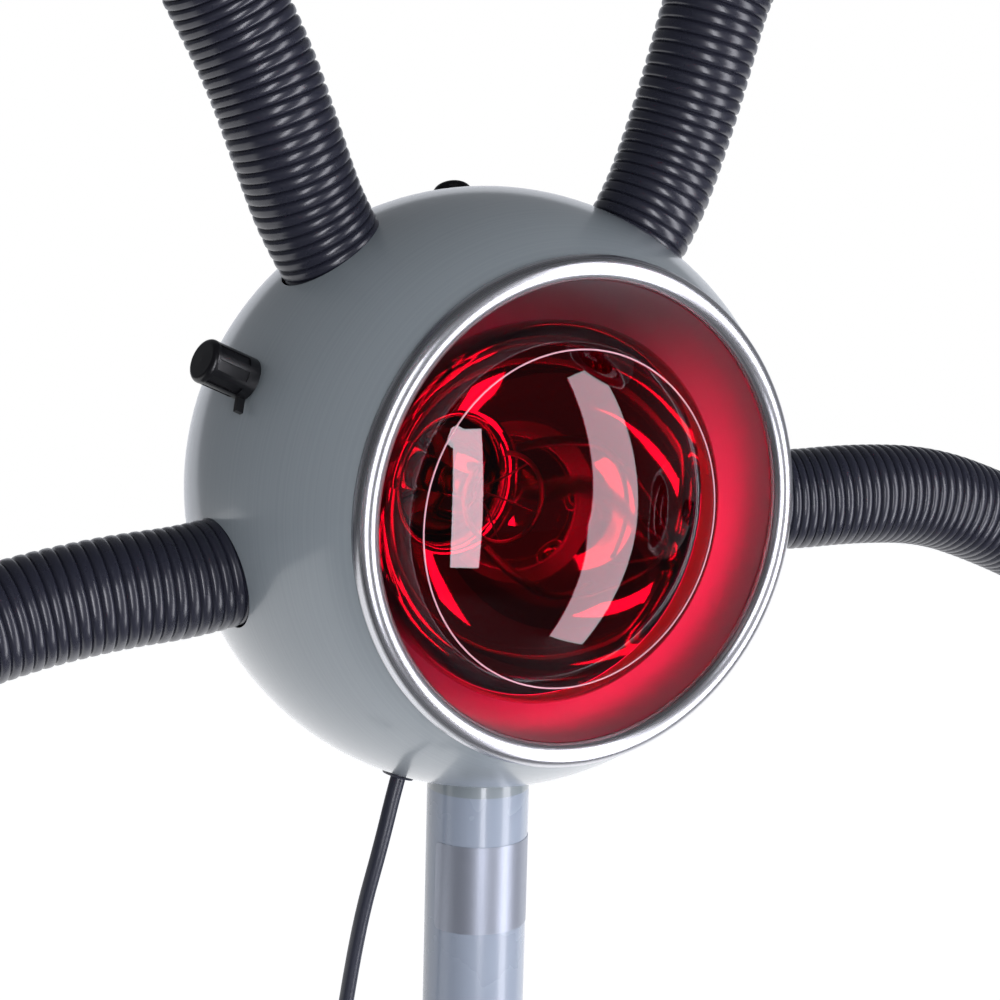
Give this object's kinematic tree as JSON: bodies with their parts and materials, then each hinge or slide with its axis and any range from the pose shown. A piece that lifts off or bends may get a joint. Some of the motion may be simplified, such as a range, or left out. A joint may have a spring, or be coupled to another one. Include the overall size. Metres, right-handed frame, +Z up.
{
  "type": "infrared hair processor",
  "caption": "Floor-standing infrared hair colour processor: round lamps on flexible arms round a middle lamp, on a telescopic column with a castor base.",
  "frame": {"origin": "on the floor, on the column's axis", "axes": "+Z up along the column, lamps face -Y"},
  "size_m": [1.0377, 0.8262, 1.6563],
  "materials": {
    "hub_paint": "textured dark grey powder coat",
    "leg_paint": "silver-grey stoved enamel",
    "column_paint": "silver-grey metallic lacquer",
    "bolt_steel": "zinc-plated",
    "plug_enamel": "satin enamel like the ball's",
    "zinc_steel": "zinc-plated sheet",
    "filament_steel": "bare wire and pinch",
    "shade_aluminium": "satin, with spinning lines",
    "reflector_aluminium": "bright polished",
    "bulb_glass": "ruby red, clear",
    "cap_brass": "bright",
    "porcelain": "glazed ceramic",
    "collar_plastic": "moulded",
    "knob_plastic": "moulded",
    "control_plastic": "phenolic",
    "castor_plastic": "moulded",
    "hose_plastic": "corrugated, semi-gloss",
    "nylon": "natural nylon",
    "wire_plastic": "glass-fibre sleeving",
    "wheel_rubber": "grey-black tread",
    "cord_rubber": "smooth jacket",
    "plug_rubber": "moulded"
  },
  "bodies": {
    "base": {"base_hub": "hub_paint", "base_legs": "leg_paint", "leg_bolts": "bolt_steel", "outer_column": "column_paint", "clamp_collar": "collar_plastic"},
    "clamp_knob": {"clamp_knob": "knob_plastic"},
    "swivel": {"column_bush": "nylon", "mains_cord_coil": "cord_rubber", "mains_plug": "plug_rubber"},
    "mast": {"inner_column": "column_paint", "column_top_plug": "plug_enamel", "column_bracket": "zinc_steel", "head_housing": "shade_aluminium", "head_reflector": "reflector_aluminium", "head_bulb_glass": "bulb_glass", "head_bulb_cap": "cap_brass", "head_bulb_filament": "filament_steel", "head_lampholder": "porcelain", "lampholder_bracket": "zinc_steel", "rear_cover": "shade_aluminium", "rear_cover_screws": "bolt_steel", "timer_body": "control_plastic", "dimmer_body": "control_plastic", "panel_nuts": "bolt_steel", "terminal_block": "nylon", "internal_wiring": "wire_plastic", "cord_gland": "cord_rubber", "mains_cord": "cord_rubber"},
    "timer_knob": {"timer_knob": "knob_plastic"},
    "dimmer_knob": {"dimmer_knob": "knob_plastic"},
    "castor_1": {"castor_fork_1": "castor_plastic"},
    "castor_1_wheels": {"castor_wheels_1": "wheel_rubber"},
    "castor_2": {"castor_fork_2": "castor_plastic"},
    "castor_2_wheels": {"castor_wheels_2": "wheel_rubber"},
    "castor_3": {"castor_fork_3": "castor_plastic"},
    "castor_3_wheels": {"castor_wheels_3": "wheel_rubber"},
    "castor_4": {"castor_fork_4": "castor_plastic"},
    "castor_4_wheels": {"castor_wheels_4": "wheel_rubber"},
    "castor_5": {"castor_fork_5": "castor_plastic"},
    "castor_5_wheels": {"castor_wheels_5": "wheel_rubber"},
    "arm_upper_left": {"flex_arm_upper_left": "hose_plastic"},
    "lamp_upper_left": {"lamp_shade_upper_left": "shade_aluminium", "lamp_reflector_upper_left": "reflector_aluminium", "lamp_bulb_upper_left": "bulb_glass", "lamp_holder_upper_left": "porcelain"},
    "arm_upper_right": {"flex_arm_upper_right": "hose_plastic"},
    "lamp_upper_right": {"lamp_shade_upper_right": "shade_aluminium", "lamp_reflector_upper_right": "reflector_aluminium", "lamp_bulb_upper_right": "bulb_glass", "lamp_holder_upper_right": "porcelain"},
    "arm_left": {"flex_arm_left": "hose_plastic"},
    "lamp_left": {"lamp_shade_left": "shade_aluminium", "lamp_reflector_left": "reflector_aluminium", "lamp_bulb_left": "bulb_glass", "lamp_holder_left": "porcelain"},
    "arm_right": {"flex_arm_right": "hose_plastic"},
    "lamp_right": {"lamp_shade_right": "shade_aluminium", "lamp_reflector_right": "reflector_aluminium", "lamp_bulb_right": "bulb_glass", "lamp_holder_right": "porcelain"}
  },
  "joints": [
    {"name": "column_turn", "type": "hinge", "parent": "base", "child": "swivel", "pos_m": [0, 0, 0.82], "axis": [0, 0, 1], "range_deg": [-170, 170]},
    {"name": "column_height", "type": "slide", "parent": "swivel", "child": "mast", "axis": [0, 0, 1], "range_m": [-0.18, 0.2], "deforming": ["mains_cord"]},
    {"name": "clamp_knob_turn", "type": "hinge", "parent": "base", "child": "clamp_knob", "pos_m": [0, 0.045, 0.837], "axis": [0, 1, 0], "range_deg": [0, 360]},
    {"name": "timer_knob_turn", "type": "hinge", "parent": "mast", "child": "timer_knob", "pos_m": [-0.09579, -0.0128, 1.29106], "axis": [0.9123, 0.1219, -0.391], "range_deg": [0, 270]},
    {"name": "dimmer_knob_turn", "type": "hinge", "parent": "mast", "child": "dimmer_knob", "pos_m": [0.01664, 0.05471, 1.33806], "axis": [-0.1585, -0.521, -0.8387], "range_deg": [0, 270]},
    {"name": "castor_1_turn", "type": "hinge", "parent": "base", "child": "castor_1", "pos_m": [0, 0.3, 0.08], "axis": [0, 0, 1], "continuous": true},
    {"name": "castor_1_roll", "type": "hinge", "parent": "castor_1", "child": "castor_1_wheels", "pos_m": [-0.01879, 0.29316, 0.025], "axis": [0.342, -0.9397, 0], "continuous": true},
    {"name": "castor_2_turn", "type": "hinge", "parent": "base", "child": "castor_2", "pos_m": [-0.28532, 0.09271, 0.08], "axis": [0, 0, 1], "continuous": true},
    {"name": "castor_2_roll", "type": "hinge", "parent": "castor_2", "child": "castor_2_wheels", "pos_m": [-0.26893, 0.10418, 0.025], "axis": [-0.5736, 0.8192, 0], "continuous": true},
    {"name": "castor_3_turn", "type": "hinge", "parent": "base", "child": "castor_3", "pos_m": [-0.17634, -0.24271, 0.08], "axis": [0, 0, 1], "continuous": true},
    {"name": "castor_3_roll", "type": "hinge", "parent": "castor_3", "child": "castor_3_wheels", "pos_m": [-0.1695, -0.2615, 0.025], "axis": [0.9397, 0.342, 0], "continuous": true},
    {"name": "castor_4_turn", "type": "hinge", "parent": "base", "child": "castor_4", "pos_m": [0.17634, -0.24271, 0.08], "axis": [0, 0, 1], "continuous": true},
    {"name": "castor_4_roll", "type": "hinge", "parent": "castor_4", "child": "castor_4_wheels", "pos_m": [0.16634, -0.22538, 0.025], "axis": [-0.866, -0.5, 0], "continuous": true},
    {"name": "castor_5_turn", "type": "hinge", "parent": "base", "child": "castor_5", "pos_m": [0.28532, 0.09271, 0.08], "axis": [0, 0, 1], "continuous": true},
    {"name": "castor_5_roll", "type": "hinge", "parent": "castor_5", "child": "castor_5_wheels", "pos_m": [0.27848, 0.07391, 0.025], "axis": [0.9397, -0.342, 0], "continuous": true},
    {"name": "arm_upper_left_bend", "type": "hinge", "parent": "mast", "child": "arm_upper_left", "pos_m": [-0.0765, -0.0045, 1.3615], "axis": [0.7955, 0, 0.606], "range_deg": [-18, 17], "deforming": ["flex_arm_upper_left"]},
    {"name": "lamp_upper_left_tilt", "type": "hinge", "parent": "arm_upper_left", "child": "lamp_upper_left", "pos_m": [-0.19818, -0.11541, 1.50923], "axis": [0.7327, -0.1315, 0.6678], "range_deg": [-25, 26], "deforming": ["flex_arm_upper_left"]},
    {"name": "arm_upper_right_bend", "type": "hinge", "parent": "mast", "child": "arm_upper_right", "pos_m": [0.0635, -0.0125, 1.366], "axis": [0.8581, 0, -0.5135], "range_deg": [-18, 17], "deforming": ["flex_arm_upper_right"]},
    {"name": "lamp_upper_right_tilt", "type": "hinge", "parent": "arm_upper_right", "child": "lamp_upper_right", "pos_m": [0.18682, -0.11837, 1.52029], "axis": [0.6729, 0.2348, -0.7014], "range_deg": [-25, 26], "deforming": ["flex_arm_upper_right"]},
    {"name": "arm_left_bend", "type": "hinge", "parent": "mast", "child": "arm_left", "pos_m": [-0.1315, -0.0015, 1.2245], "axis": [-0.2215, 0, 0.9751], "range_deg": [-18, 17], "deforming": ["flex_arm_left"]},
    {"name": "lamp_left_tilt", "type": "hinge", "parent": "arm_left", "child": "lamp_left", "pos_m": [-0.33083, -0.11572, 1.22184], "axis": [0.0809, 0.0685, 0.9944], "range_deg": [-25, 26], "deforming": ["flex_arm_left"]},
    {"name": "arm_right_bend", "type": "hinge", "parent": "mast", "child": "arm_right", "pos_m": [0.1305, -0.034, 1.246], "axis": [-0.0663, 0, -0.9978], "range_deg": [-18, 17], "deforming": ["flex_arm_right"]},
    {"name": "lamp_right_tilt", "type": "hinge", "parent": "arm_right", "child": "lamp_right", "pos_m": [0.33063, -0.11537, 1.2033], "axis": [-0.0787, 0.0257, -0.9966], "range_deg": [-25, 26], "deforming": ["flex_arm_right"]}
  ]
}
